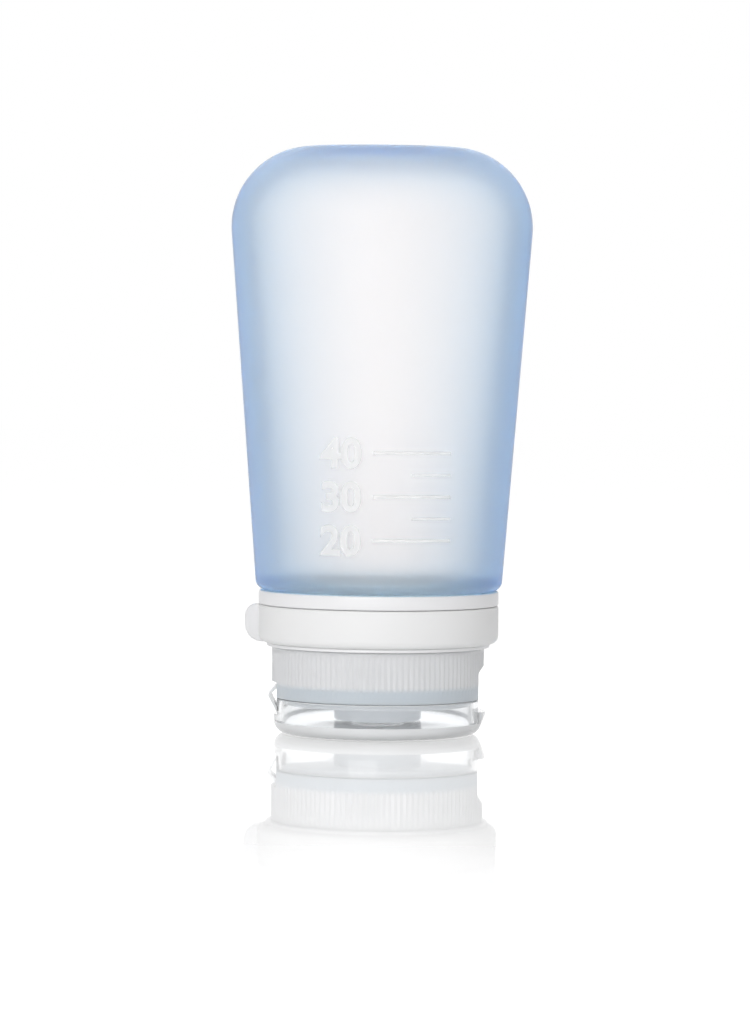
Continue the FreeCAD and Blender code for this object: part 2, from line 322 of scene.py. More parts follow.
def outlined(bm, corners, closed=True):
    """Wire in the XZ plane. A corner is (x, z), or (x, z, setback) where it is rounded."""
    verts = [bm.verts.new((corner[0], 0, corner[1])) for corner in corners]
    following = verts[1:] + verts[:1] if closed else verts[1:]
    for start, end in zip(verts, following):
        bm.edges.new((start, end))
    for vert, corner in zip(verts, corners):
        if len(corner) > 2:
            rounded(bm, [vert], corner[2], ROUND_STEPS, "VERTICES", clamp=False)


def plated(bm, width):
    """Fill a closed outline and thicken it along Y. Gives back the edges of both its faces."""
    side = bmesh.ops.contextual_create(bm, geom=bm.edges[:])["faces"]
    bmesh.ops.translate(bm, vec=(0, -width / 2, 0), verts=bm.verts)
    rims = bm.edges[:]
    grown = bmesh.ops.extrude_face_region(bm, geom=side, use_keep_orig=True)["geom"]
    bmesh.ops.translate(bm, vec=(0, width, 0), verts=picked(grown, bmesh.types.BMVert))
    return rims + picked(grown, bmesh.types.BMEdge)


def sliced(bm, place, normal):
    """Cut a drawing's faces along a plane and keep both sides."""
    geometry = bm.verts[:] + bm.edges[:] + bm.faces[:]
    bmesh.ops.bisect_plane(bm, geom=geometry, plane_co=place, plane_no=normal)


def tidied(bm):
    """Close seams and poles, and turn every face outwards."""
    bmesh.ops.remove_doubles(bm, verts=bm.verts, dist=MERGE)
    bmesh.ops.recalc_face_normals(bm, faces=bm.faces)


def spun(corners, steps=TURN_STEPS, closed=True):
    """Turned piece: an outline of radii and heights, spun about the bottle's axis."""
    bm = bmesh.new()
    outlined(bm, corners, closed)
    bmesh.ops.spin(
        bm,
        geom=bm.verts[:] + bm.edges[:],
        cent=(0, 0, 0),
        axis=(0, 0, 1),
        angle=math.tau,
        steps=steps,
        use_merge=True,
    )
    tidied(bm)
    return bm


def ring(bore, radius, low, high, edges):
    """Plain turned ring. Its edges go from the lower inner one outwards and up."""
    return spun(list(zip((bore, radius, radius, bore), (low, low, high, high), edges)))


def drawn_through(rings, segments=TURN_STEPS):
    """Closed skin drawn from ring to ring. A ring is (half width, half depth, height)."""
    bm = bmesh.new()
    wide, deep, height = rings[0]
    bmesh.ops.create_circle(bm, segments=segments, radius=1.0)
    bmesh.ops.scale(bm, vec=(wide, deep, 1), verts=bm.verts)
    bmesh.ops.translate(bm, vec=(0, 0, height), verts=bm.verts)
    loop = bm.edges[:]
    ends = [loop]
    for next_wide, next_deep, next_height in rings[1:]:
        grown = bmesh.ops.extrude_edge_only(bm, edges=loop)["geom"]
        verts = picked(grown, bmesh.types.BMVert)
        loop = picked(grown, bmesh.types.BMEdge)
        bmesh.ops.scale(bm, vec=(next_wide / wide, next_deep / deep, 1), verts=verts)
        bmesh.ops.translate(bm, vec=(0, 0, next_height - height), verts=verts)
        wide, deep, height = next_wide, next_deep, next_height
    ends.append(loop)
    for end in ends:
        lid = bmesh.ops.contextual_create(bm, geom=end)["faces"]
        bmesh.ops.poke(bm, faces=lid)
    tidied(bm)
    return bm


def threaded(bm, root, crest, low, pitch, turns):
    """Add a screw thread's ridge to a turned piece, run out at both ends."""
    middle = low + THREAD_LIFT
    ridge = bmesh.new()
    outlined(ridge, [
        (root, middle - THREAD_FLANK),
        (crest, middle - THREAD_LAND),
        (crest, middle + THREAD_LAND),
        (root, middle + THREAD_FLANK),
    ])
    start = ridge.verts[:]
    steps = round(TURN_STEPS / 2 * turns)
    spin = bmesh.ops.spin(
        ridge,
        geom=start + ridge.edges[:],
        cent=(0, 0, 0),
        axis=(0, 0, 1),
        dvec=(0, 0, pitch * turns / steps),
        angle=math.tau * turns,
        steps=steps,
    )
    finish = picked(spin["geom_last"], bmesh.types.BMVert)
    for vert in start + finish:
        radius = math.hypot(vert.co.x, vert.co.y)
        if abs(radius - crest) < abs(radius - root):
            bmesh.ops.scale(ridge, vec=(root / crest, root / crest, 1), verts=[vert])
    bmesh.ops.holes_fill(ridge, edges=[edge for edge in ridge.edges if edge.is_boundary])
    bmesh.ops.recalc_face_normals(ridge, faces=ridge.faces)
    joined(bm, ridge)


def joined(bm, other):
    """Add a second drawing to a first."""
    mesh = bpy.data.meshes.new("joined")
    other.to_mesh(mesh)
    other.free()
    bm.from_mesh(mesh)
    bpy.data.meshes.remove(mesh)


def flattened(bm, side, face, low, high, slope):
    """Draw one side of a turned piece in to a flat, which slopes out again above its upper end."""
    for vert in bm.verts:
        above = max(0.0, vert.co.z - high)
        limit = face + above / slope if slope else face
        if low <= vert.co.z <= high + slope and vert.co.x * side > limit:
            vert.co.x = limit * side


def finished(bm, name, material, sharp=38):
    """Object at the origin, in metres, from a drawing in millimetres."""
    bmesh.ops.scale(bm, vec=(1 / MM, 1 / MM, 1 / MM), verts=bm.verts)
    mesh = bpy.data.meshes.new(name)
    bm.to_mesh(mesh)
    bm.free()
    mesh.shade_smooth()
    mesh.set_sharp_from_angle(angle=math.radians(sharp))
    mesh.materials.append(material)
    piece = bpy.data.objects.new(name, mesh)
    bpy.context.scene.collection.objects.link(piece)
    return piece


def partly(piece, material, wanted):
    """Give a second finish to the faces whose middle, in millimetres, is wanted."""
    piece.data.materials.append(material)
    for face in piece.data.polygons:
        if wanted(face.center * MM):
            face.material_index = 1


def placed(piece, node, body):
    """Put a finished piece in the place of its CAD node."""
    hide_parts(node)
    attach(piece, body)


def fed(tree, node, inputs):
    """Set a node's inputs, each to a plain value or to another node's output."""
    for socket, given in inputs.items():
        if isinstance(given, bpy.types.NodeSocket):
            tree.links.new(given, node.inputs[socket])
        else:
            node.inputs[socket].default_value = given


def wired(tree, kind, inputs, **traits):
    """New shader node with its inputs."""
    node = tree.nodes.new("ShaderNode" + kind)
    for trait, value in traits.items():
        setattr(node, trait, value)
    fed(tree, node, inputs)
    return node


def reckoned(tree, operation, *terms, **traits):
    """Output of a math node on values or other outputs."""
    return wired(tree, "Math", dict(enumerate(terms)), operation=operation, **traits).outputs["Value"]


def faded(tree, value, start, end, first=0.0, last=1.0):
    """Output that passes smoothly from first to last while a value runs from start to end."""
    inputs = {"Value": value, "From Min": start, "From Max": end, "To Min": first, "To Max": last}
    return wired(tree, "MapRange", inputs, interpolation_type="SMOOTHSTEP").outputs["Result"]


def object_place(tree):
    """Output with the place on the piece, in metres."""
    return wired(tree, "TexCoord", {}).outputs["Object"]


def surfaced(material, inputs):
    """Set inputs of a material's surface."""
    fed(material.node_tree, material.node_tree.nodes["Principled BSDF"], inputs)


def lit_within(weight, depth):
    """Surface inputs of plastic that light soaks into, by a share and a depth in metres."""
    even = (1.0, 1.0, 1.0)
    return {"Subsurface Weight": weight, "Subsurface Radius": even, "Subsurface Scale": depth}


def node_group(name, inputs, outputs):
    """Empty node group, the outputs of its input node, and its output node."""
    tree = bpy.data.node_groups.new(name, "ShaderNodeTree")
    for way, sockets in (("INPUT", inputs), ("OUTPUT", outputs)):
        for socket, kind in sockets.items():
            tree.interface.new_socket(socket, in_out=way, socket_type="NodeSocket" + kind)
    return tree, tree.nodes.new("NodeGroupInput").outputs, tree.nodes.new("NodeGroupOutput")


def moulded_grain():
    """Shared finish of moulded pieces: a slow drift of colour and gloss, and a fine grain."""
    tree = bpy.data.node_groups.get("moulded grain")
    if tree:
        return tree
    tree, given, result = node_group(
        "moulded grain",
        {
            "Colour": "Color",
            "Colour drift": "Float",
            "Roughness": "Float",
            "Roughness drift": "Float",
            "Grains per metre": "Float",
        },
        {"Colour": "Color", "Roughness": "Float", "Height": "Float"},
    )
    place = object_place(tree)
    drift = wired(tree, "TexNoise", {"Vector": place, "Scale": 70.0, "Detail": 3.0}).outputs["Fac"]
    fine = {"Vector": place, "Scale": given["Grains per metre"], "Detail": 4.0, "Roughness": 0.6}
    grain = wired(tree, "TexNoise", fine).outputs["Fac"]
    mean = 0.5
    shade = reckoned(tree, "SUBTRACT", drift, mean)
    shade = reckoned(tree, "MULTIPLY_ADD", shade, given["Colour drift"], 1.0)
    scaled = wired(tree, "VectorMath", {0: given["Colour"], "Scale": shade}, operation="SCALE")
    spread = reckoned(tree, "SUBTRACT", reckoned(tree, "ADD", drift, grain), 2 * mean)
    gloss = reckoned(
        tree, "MULTIPLY_ADD", spread, given["Roughness drift"], given["Roughness"], use_clamp=True
    )
    fed(tree, result, {"Colour": scaled.outputs["Vector"], "Roughness": gloss, "Height": grain})
    return tree


def moulded(name, colour, roughness, drift=0.02, gloss_drift=0.1, grains=3000.0, grain_depth=0.00001):
    """Material whose colour, gloss and surface come through the shared grain."""
    material = bpy.data.materials.new(name)
    material.use_nodes = True
    tree = material.node_tree
    finish = {
        "Colour": (*colour, 1.0),
        "Colour drift": drift,
        "Roughness": roughness,
        "Roughness drift": gloss_drift,
        "Grains per metre": grains,
    }
    grain = wired(tree, "Group", finish, node_tree=moulded_grain()).outputs
    relief = wired(tree, "Bump", {"Strength": 0.5, "Distance": grain_depth, "Height": grain["Height"]})
    surfaced(material, {
        "Base Color": grain["Colour"],
        "Roughness": grain["Roughness"],
        "Normal": relief.outputs["Normal"],
    })
    return material


def painted_height_tint():
    """Shared effect of painted light and shade: one colour low on a piece and another higher up."""
    tree = bpy.data.node_groups.get("painted height tint")
    if tree:
        return tree
    tree, given, result = node_group(
        "painted height tint",
        {"Lower colour": "Color", "Upper colour": "Color", "From": "Float", "To": "Float"},
        {"Colour": "Color"},
    )
    height = wired(tree, "SeparateXYZ", {"Vector": object_place(tree)}).outputs["Z"]
    mix = {
        "Factor": faded(tree, height, given["From"], given["To"]),
        "A": given["Lower colour"],
        "B": given["Upper colour"],
    }
    fed(tree, result, {"Colour": wired(tree, "Mix", mix, data_type="RGBA").outputs["Result"]})
    return tree


def painted_low_tint(material, lower, upper, start, end):
    """Paint a moulded material another colour below a height in millimetres, for light and shade seen low on
    the piece.
    """
    tree = material.node_tree
    tints = {
        "Lower colour": (*lower, 1.0),
        "Upper colour": (*upper, 1.0),
        "From": start / MM,
        "To": end / MM,
    }
    tinted = wired(tree, "Group", tints, node_tree=painted_height_tint())
    grain = next(node for node in tree.nodes if node.type == "GROUP" and node.node_tree == moulded_grain())
    fed(tree, grain, {"Colour": tinted.outputs["Colour"]})


def frosted_silicone(settings):
    """Translucent silicone that turns deeper blue where it is thicker."""
    material = moulded(
        "frosted silicone",
        settings.colour,
        settings.frost,
        drift=0.01,
        gloss_drift=0.08,
        grains=5000.0,
        grain_depth=0.00002,
    )
    surfaced(material, {"Transmission Weight": settings.clearness, "IOR": settings.bending})
    tree = material.node_tree
    depth = {"Color": (*settings.depth_colour, 1.0), "Density": settings.density}
    inside = wired(tree, "VolumeAbsorption", depth)
    fed(tree, tree.nodes["Material Output"], {"Volume": inside.outputs["Volume"]})
    return material


def body_rings(foot, foot_z, foot_round, end, end_z, end_round):
    """Ovals from the flat of a body's foot to the flat of its end, both (half width, half depth)."""
    foot_high = foot_z + foot_round
    centre_z = end_z - end_round

    def reach(height, at_foot, at_end):
        lean = math.atan2(at_end - at_foot, end_z - foot_high)
        if height <= centre_z - end_round * math.sin(lean):
            return at_foot + (height - foot_high) * math.tan(lean)
        centre = at_foot + (centre_z - foot_high) * math.tan(lean) - end_round / math.cos(lean)
        return centre + math.sqrt(max(0.0, end_round**2 - (height - centre_z) ** 2))

    rings = []
    foot_steps, wall_steps, end_steps = 6, 26, 26
    for i in range(foot_steps):
        turn = math.pi / 2 * i / foot_steps
        drawn_in = foot_round * (1 - math.sin(turn))
        rings.append((foot[0] - drawn_in, foot[1] - drawn_in, foot_z + foot_round * (1 - math.cos(turn))))
    first_turn = math.radians(-8)
    wall_high = centre_z + end_round * math.sin(first_turn)
    heights = [foot_high + (wall_high - foot_high) * i / wall_steps for i in range(wall_steps)]
    for i in range(end_steps + 1):
        turn = first_turn + (math.pi / 2 - first_turn) * i / end_steps
        heights.append(centre_z + end_round * math.sin(turn))
    for height in heights:
        rings.append((reach(height, foot[0], end[0]), reach(height, foot[1], end[1]), height))
    return rings


def body_foot(size):
    """Half width and half depth of the bottle's outside at its foot."""
    return size.shoulder_radius, size.shoulder_radius - size.front_inset


def body_end(size):
    """Half width and half depth of the bottle's outside at its flat end, before rounding."""
    return size.end_width / 2, size.end_depth / 2 - size.front_inset


def wall_at(size, height):
    """Half width and half depth of the bottle's outside on its straight wall."""
    foot_high = collar_high.z * MM + size.shoulder_round
    share_up = (height - foot_high) / (shell_high.z * MM - foot_high)
    return [low + (high - low) * share_up for low, high in zip(body_foot(size), body_end(size))]


class TRAVEL_BOTTLE_OT_silicone_bottle(bpy.types.Operator):
    """Draw the silicone bottle as one skin, from the inside of its end to the outside"""

    bl_idname = "travel_bottle.silicone_bottle"
    bl_label = "Silicone Bottle"

    def execute(self, context):
        settings, size = read(context, "bottle")
        mouth, end = shell_low.z * MM, shell_high.z * MM
        shoulder = collar_high.z * MM
        floor = shoulder + size.shoulder_height
        foot, top = body_foot(size), body_end(size)
        outside = body_rings(foot, shoulder, size.shoulder_round, top, end, size.end_round)
        inner_foot = foot[0] - size.side_wall, foot[1] - size.front_wall
        inner_top = top[0] - size.side_wall, top[1] - size.front_wall
        inner_round = size.end_round - size.side_wall
        inside = body_rings(inner_foot, floor, size.floor_round, inner_top, end - size.end_wall, inner_round)
        edge, near = 0.4, 0.12
        tint_low, tint_high = 1.0, 4.5

        def eased(radius, height, outward, upward):
            return [
                (radius + outward * edge, height),
                (radius + outward * near, height + upward * near),
                (radius, height + upward * edge),
            ]

        neck = eased(size.mouth_radius, floor, 1, -1)
        neck += eased(size.mouth_radius, mouth, 1, 1)[::-1]
        neck += eased(size.lip_radius, mouth, -1, 1)
        neck += [
            (size.lip_radius, mouth + size.lip_height),
            (size.neck_radius, mouth + size.lip_height),
            (size.neck_radius, shoulder),
        ]
        rings = inside[::-1] + [(radius, radius, height) for radius, height in neck] + outside
        bm = drawn_through(rings)
        material = frosted_silicone(settings)
        # Painted light: the silicone is painted bluer near its foot, for the blue light seen through it
        # there.
        painted_low_tint(material, settings.foot_painted_light, settings.colour, shoulder + tint_low, shoulder + tint_high)
        piece = finished(bm, "silicone_bottle", material)
        placed(piece, "bottle_shell", "bottle")
        return {"FINISHED"}


def numeral(text, height, thickness):
    """Drawing of a number in the XZ plane, facing -Y, with its foot at the origin."""
    figure_share, boldness = 0.7, 0.03
    letters = bpy.data.curves.new("numeral", "FONT")
    letters.body = text
    letters.size = height / figure_share
    letters.offset = boldness * letters.size
    letters.extrude = thickness / 2
    letters.bevel_depth = 0.05
    letters.bevel_resolution = 1
    letters.resolution_u = 8
    holder = bpy.data.objects.new("numeral", letters)
    bpy.context.scene.collection.objects.link(holder)
    seen = holder.evaluated_get(bpy.context.evaluated_depsgraph_get())
    mesh = bpy.data.meshes.new_from_object(seen)
    bm = bmesh.new()
    bm.from_mesh(mesh)
    bpy.data.objects.remove(holder)
    bpy.data.curves.remove(letters)
    bpy.data.meshes.remove(mesh)
    bmesh.ops.remove_doubles(bm, verts=bm.verts, dist=MERGE)
    bmesh.ops.rotate(bm, cent=(0, 0, 0), matrix=Matrix.Rotation(math.pi / 2, 3, "X"), verts=bm.verts)
    return bm


class TRAVEL_BOTTLE_OT_fill_scale(bpy.types.Operator):
    """Raise a plain fill scale on the front of the bottle"""

    bl_idname = "travel_bottle.fill_scale"
    bl_label = "Fill Scale"

    def execute(self, context):
        settings, size = read(context, "scale")
        bottle_settings, bottle = read(context, "bottle")
        left, middle, right = -10.4, -1.2, 12.4
        thick, thin, edge, edge_steps = 0.6, 0.45, 0.05, 2
        gap, spare = 0.02, 0.005
        bm = bmesh.new()
        for i in range(settings.marks):
            height = size.first_mark + i * size.mark_step
            label = str(settings.first_number + i * settings.number_step)
            figures = numeral(label, size.numeral_height, size.proud)
            foot = height - size.numeral_height / 2
            bmesh.ops.translate(figures, vec=(left, 0, foot), verts=figures.verts)
            joined(bm, figures)
            ticks = [(height, middle, thick)]
            if i + 1 < settings.marks:
                ticks.append((height + size.mark_step / 2, (middle + right) / 2, thin))
            for tick_height, tick_left, tick_thick in ticks:
                place = Matrix.Translation(((tick_left + right) / 2, 0, tick_height))
                spread = Matrix.Diagonal((right - tick_left, size.proud, tick_thick, 1))
                bar = bmesh.ops.create_cube(bm, size=1.0, matrix=place @ spread)["verts"]
                rims = dict.fromkeys(rim for vert in bar for rim in vert.link_edges)
                rounded(bm, list(rims), edge, edge_steps, "EDGES")
        for column in range(math.ceil(left), math.ceil(right)):
            sliced(bm, (column, 0, 0), (1, 0, 0))
        foremost = cad_box[0].y * MM + spare
        back = max(vert.co.y for vert in bm.verts)
        for vert in bm.verts:
            wide, deep = wall_at(bottle, vert.co.z)
            vert.co.y -= deep * math.sqrt(1 - (vert.co.x / wide) ** 2) + back + gap
            vert.co.y = max(vert.co.y, foremost)
        tidied(bm)
        material = moulded("polished silicone", settings.colour, roughness=0.12, drift=0.01, gloss_drift=0.05)
        surfaced(material, {"Transmission Weight": 0.6, "IOR": bottle_settings.bending})
        piece = finished(bm, "fill_scale", material)
        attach(piece, "bottle")
        return {"FINISHED"}


class TRAVEL_BOTTLE_OT_threaded_collar(bpy.types.Operator):
    """Turn the rigid collar: flange, seat for the band, and threaded sleeve"""

    bl_idname = "travel_bottle.threaded_collar"
    bl_label = "Threaded Collar"

    def execute(self, context):
        settings, size = read(context, "collar")
        seat_gap, bead_gap, web = 0.1, 0.03, 1.2
        sleeve_edge, web_edge, seat_edge, flange_edge = 0.3, 0.4, 0.2, 0.35
        bead_edge, bead_foot_edge = 0.1, 0.12
        thread_turns = 1.2
        low, top, radius = spanned(collar_low, collar_high)
        high = top - seat_gap
        bead_high = band_low.z * MM - bead_gap
        bm = spun([
            (size.sleeve_bore, low),
            (size.sleeve_radius, low, sleeve_edge),
            (size.sleeve_radius, high - web, web_edge),
            (size.core_radius, high - web, web_edge),
            (size.core_radius, size.seat_low, seat_edge),
            (size.bead_radius, size.seat_low, bead_foot_edge),
            (size.bead_radius, bead_high, bead_edge),
            (size.seat_radius, bead_high, bead_edge),
            (size.seat_radius, size.flange_low, seat_edge),
            (radius, size.flange_low, flange_edge),
            (radius, high, flange_edge),
            (size.sleeve_bore, high),
        ])
        root, crest = size.sleeve_radius - THREAD_SINK, size.sleeve_radius + size.thread_reach
        threaded(bm, root, crest, low + sleeve_edge, size.thread_pitch, thread_turns)

        def under_silicone(middle):
            return middle.z > high - seat_gap / 2 or middle.xy.length < size.sleeve_bore + seat_gap

        piece = finished(bm, "threaded_collar", moulded("satin collar", settings.colour, roughness=0.38))
        # Painted tint: faces under the silicone get a blue copy of the collar's white.
        partly(piece, moulded("collar seat painted tint", settings.seat_painted_tint, roughness=0.5), under_silicone)
        placed(piece, "neck_collar", "bottle")
        return {"FINISHED"}


class TRAVEL_BOTTLE_OT_pull_band(bpy.types.Operator):
    """Turn the soft carry band and add its pull tab"""

    bl_idname = "travel_bottle.pull_band"
    bl_label = "Pull Band"

    def execute(self, context):
        settings, size = read(context, "band")
        edge, tab_edge, tab_steps = 0.2, 0.6, 4
        low, high, radius = spanned(band_low, band_high)
        tip = band_low.x * MM
        bm = ring(size.bore, radius, low, high, (edge, size.lower_round, size.upper_round, edge))
        tab = bmesh.new()
        root = -(size.bore + radius) / 2
        outlined(tab, [
            (root, low),
            (tip, low, size.tab_lower_round),
            (tip, high, size.tab_upper_round),
            (root, high),
        ])
        rounded(tab, plated(tab, size.tab_thickness), tab_edge, tab_steps, "EDGES")
        bmesh.ops.recalc_face_normals(tab, faces=tab.faces)
        joined(bm, tab)
        rubber = {"roughness": 0.55, "grains": 3500.0, "grain_depth": 0.00002}
        material = moulded("soft band", settings.colour, **rubber)
        surfaced(material, lit_within(weight=0.4, depth=0.0015))
        piece = finished(bm, "pull_band", material)
        # Painted shade: the tab gets a greyer copy of the band's rubber.
        thin = moulded("tab painted shade", settings.tab_painted_shade, **rubber)
        partly(piece, thin, lambda middle: middle.x < -radius - MERGE)
        placed(piece, "carry_band", "band")
        return {"FINISHED"}


class TRAVEL_BOTTLE_OT_ribbed_cap(bpy.types.Operator):
    """Turn the milky cap, raise its grip ribs and cut its two flats"""

    bl_idname = "travel_bottle.ribbed_cap"
    bl_label = "Ribbed Cap"

    def execute(self, context):
        settings, size = read(context, "cap")
        collar = read(context, "collar")[1]
        boss_low, rim, radius = spanned(cap_low, cap_high)
        fine_edge, inner_edge, skirt_edge = 0.15, 0.2, 0.12
        deck_edge, bore_edge, floor_edge = 0.5, 0.3, 0.4
        lead, ledge, rib_steps = 0.3, 0.02, 4
        thread_rise, thread_turns = 1.2, 1.3
        tint_low, tint_high = size.skirt_low + 1.8, size.rib_low + 1.0
        corners = [
            (size.outlet_radius, boss_low, fine_edge),
            (size.boss_radius, boss_low, fine_edge),
            (size.boss_radius, size.deck_low, inner_edge),
            (size.deck_radius, size.deck_low, deck_edge),
            (size.deck_radius, size.skirt_low, inner_edge),
            (size.skirt_radius, size.skirt_low, skirt_edge),
            (size.skirt_radius, size.rib_low),
            (radius, size.rib_low + lead),
            (radius, size.pocket_high - ledge),
            (radius, size.pocket_high + ledge),
            (radius, size.notch_high),
            (radius, size.notch_high + size.notch_slope),
            (radius, size.rib_high - lead),
            (radius, size.rib_high),
            (radius, rim, fine_edge),
            (size.bore, rim, bore_edge),
            (size.bore, size.deck_high, floor_edge),
            (size.valve_bore, size.deck_high, fine_edge),
            (size.valve_bore, size.shelf_high),
            (size.outlet_radius, size.shelf_high, fine_edge),
        ]
        bm = spun(corners, steps=rib_steps * settings.rib_count)
        for vert in bm.verts:
            reach = math.hypot(vert.co.x, vert.co.y)
            if size.rib_low + MERGE < vert.co.z < size.rib_high - MERGE and reach > size.skirt_radius:
                wave = (1 - math.cos(settings.rib_count * math.atan2(vert.co.y, vert.co.x))) / 2
                valley = (reach - wave * size.rib_depth) / reach
                vert.co.x *= valley
                vert.co.y *= valley
        flattened(bm, 1, size.notch_face, size.skirt_low - MERGE, size.notch_high, size.notch_slope)
        flattened(bm, -1, size.pocket_face, size.skirt_low - MERGE, size.pocket_high, 0.0)
        root, crest = size.bore + THREAD_SINK, size.bore - collar.thread_reach
        threaded(bm, root, crest, size.deck_high + thread_rise, collar.thread_pitch, thread_turns)
        material = moulded("milky plastic", settings.colour, settings.softness, grains=2500.0)
        # Painted tint: darker and bluer low on the cap, for the neck's blue lip seen through it.
        painted_low_tint(material, settings.lower_painted_tint, settings.colour, tint_low, tint_high)
        surfaced(material, {"Transmission Weight": settings.milk, "IOR": 1.49})
        surfaced(material, lit_within(weight=0.6, depth=0.002))
        piece = finished(bm, "ribbed_cap", material, sharp=30)
        # Painted light: a lighter copy of the cap's plastic on the boss and deck, against the shade under the
        # lid.
        boss = moulded("milky boss painted light", settings.boss_painted_light, settings.softness)
        partly(piece, boss, lambda middle: middle.z < size.skirt_low - MERGE)
        placed(piece, "screw_cap", "cap")
        return {"FINISHED"}


class TRAVEL_BOTTLE_OT_slit_valve(bpy.types.Operator):
    """Turn the soft valve and its ring, and cut the valve's crossed slits"""

    bl_idname = "travel_bottle.slit_valve"
    bl_label = "Slit Valve"

    def execute(self, context):
        settings, size = read(context, "seals")
        fine_edge, ring_edge = 0.15, 0.3
        dome_steps, turn_steps = 10, 96
        low, high, radius = spanned(valve_low, valve_high)
        flange_high = low + size.flange
        rise = high - flange_high

        def dome(foot):
            sphere = (size.dome_radius**2 + rise**2) / (2 * rise)
            half = math.asin(size.dome_radius / sphere)
            turns = [half * (1 - i / dome_steps) for i in range(dome_steps + 1)]
            return [(sphere * math.sin(t), foot + rise - sphere * (1 - math.cos(t))) for t in turns]

        flange = [(size.dome_radius, low), (radius, low, fine_edge), (radius, flange_high, fine_edge)]
        corners = dome(flange_high - size.skin)[::-1] + flange + dome(flange_high)
        bm = spun(corners, steps=turn_steps, closed=False)
        half_long, half_wide = size.slit_length / 2, size.slit_width / 2
        for turn in range(2):
            along, over = Vector((1 - turn, turn, 0)), Vector((turn, 1 - turn, 0))
            for normal, half in ((along, half_long), (over, half_wide)):
                sliced(bm, normal * half, normal)
                sliced(bm, normal * -half, normal)
        slits = []
        for face in bm.faces:
            middle = face.calc_center_median()
            near, far = sorted((abs(middle.x), abs(middle.y)))
            if far < half_long and near < half_wide:
                slits.append(face)
        bmesh.ops.delete(bm, geom=slits, context="FACES")
        bmesh.ops.bridge_loops(bm, edges=[edge for edge in bm.edges if edge.is_boundary])
        tidied(bm)
        material = moulded("soft valve", settings.colour, roughness=0.45)
        surfaced(material, {"Subsurface Weight": 0.3, "Subsurface Scale": 0.001})
        placed(finished(bm, "slit_valve", material), "dispensing_valve", "cap")

        low, high, radius = spanned(ring_low, ring_high)
        bm = ring(size.ring_bore, radius, low, high, (fine_edge, fine_edge, ring_edge, ring_edge))
        material = moulded("milky ring", context.scene.travel_bottle.cap.colour, roughness=0.35)
        placed(finished(bm, "press_ring", material), "valve_retainer", "cap")
        return {"FINISHED"}


class TRAVEL_BOTTLE_OT_neck_washer(bpy.types.Operator):
    """Turn the flat washer that seals the cap on the neck"""

    bl_idname = "travel_bottle.neck_washer"
    bl_label = "Neck Washer"

    def execute(self, context):
        settings, size = read(context, "seals")
        low, high, radius = spanned(washer_low, washer_high)
        edge = 0.12
        bm = ring(size.washer_bore, radius, low, high, [edge] * 4)
        piece = finished(bm, "neck_washer", moulded("soft washer", settings.colour, roughness=0.6))
        placed(piece, "sealing_washer", "washer")
        return {"FINISHED"}


def clear_plastic(name, colour, clearness, roughness):
    """Polished plastic, clear in the lid's side and hazy along its edges."""
    material = bpy.data.materials.get(name)
    if material:
        return material
    grain = {"drift": 0.005, "gloss_drift": 0.03, "grains": 900.0, "grain_depth": 0.000004}
    material = moulded(name, colour, roughness, **grain)
    surfaced(material, {"Transmission Weight": clearness, "IOR": 1.45})
    return material


def hazy_plastic(settings):
    """Finish of the lid's edges and of its film hinge."""
    return clear_plastic("hazy plastic", settings.hazy_colour, settings.haze, 2 * settings.polish)


class TRAVEL_BOTTLE_OT_clear_lid(bpy.types.Operator):
    """Turn the clear lid, draw out its thumb lip and cut its two flats"""

    bl_idname = "travel_bottle.clear_lid"
    bl_label = "Clear Lid"

    def execute(self, context):
        settings, size = read(context, "lid")
        cap = read(context, "cap")[1]
        low, high, radius = spanned(lid_low, lid_high)
        tip = lid_high.x * MM
        inner = radius - size.wall
        fine_edge, inner_edge, plug_edge, plug_taper = 0.15, 0.4, 0.2, 0.2
        step, turn_steps = 0.02, 360
        haze_depth, haze_low, haze_high = 0.45, size.plate + 0.5, high - 0.7
        corners = [
            (0, low),
            (radius, low, size.edge_round),
            (radius, cap.pocket_low - step),
            (radius, cap.pocket_low),
            (radius, size.lip_high - size.lip_edge),
            (radius, size.lip_high),
            (radius, size.lip_high + step),
            (radius, high - fine_edge),
            (radius - fine_edge, high),
            (inner, high, fine_edge),
            (inner, size.plate, inner_edge),
            (size.plug_radius, size.plate, plug_edge),
            (size.plug_radius - plug_taper, size.plug_high, fine_edge),
            (size.plug_bore, size.plug_high, fine_edge),
            (size.plug_bore, size.plate, plug_edge),
            (0, size.plate),
        ]
        bm = spun(corners, steps=turn_steps, closed=False)
        flattened(bm, 1, cap.notch_face, size.lip_high + step / 2, high + MERGE, 0.0)
        flattened(bm, -1, cap.pocket_face, cap.pocket_low - step / 2, high + MERGE, 0.0)
        lip_rise = size.lip_high - size.lip_edge - size.lip_low
        for vert in bm.verts:
            reach = math.hypot(vert.co.x, vert.co.y)
            wide = vert.co.x > 0 and abs(vert.co.y) < size.lip_width / 2
            if wide and reach > radius - MERGE and size.lip_low < vert.co.z < size.lip_high + step / 2:
                share_up = min(1.0, (vert.co.z - size.lip_low) / lip_rise)
                drawn_out = (radius + (tip - radius) * share_up) / reach
                vert.co.x *= drawn_out
                vert.co.y *= drawn_out

        def hazy(middle):
            outside = middle.xy.length > radius + step
            edge = middle.xy.length > inner - haze_depth and not haze_low < middle.z < haze_high
            return outside or edge

        side = clear_plastic("clear plastic", settings.colour, settings.clearness, settings.polish)
        piece = finished(bm, "clear_lid", side, sharp=30)
        partly(piece, hazy_plastic(settings), hazy)
        placed(piece, "flip_lid", "lid")
        return {"FINISHED"}


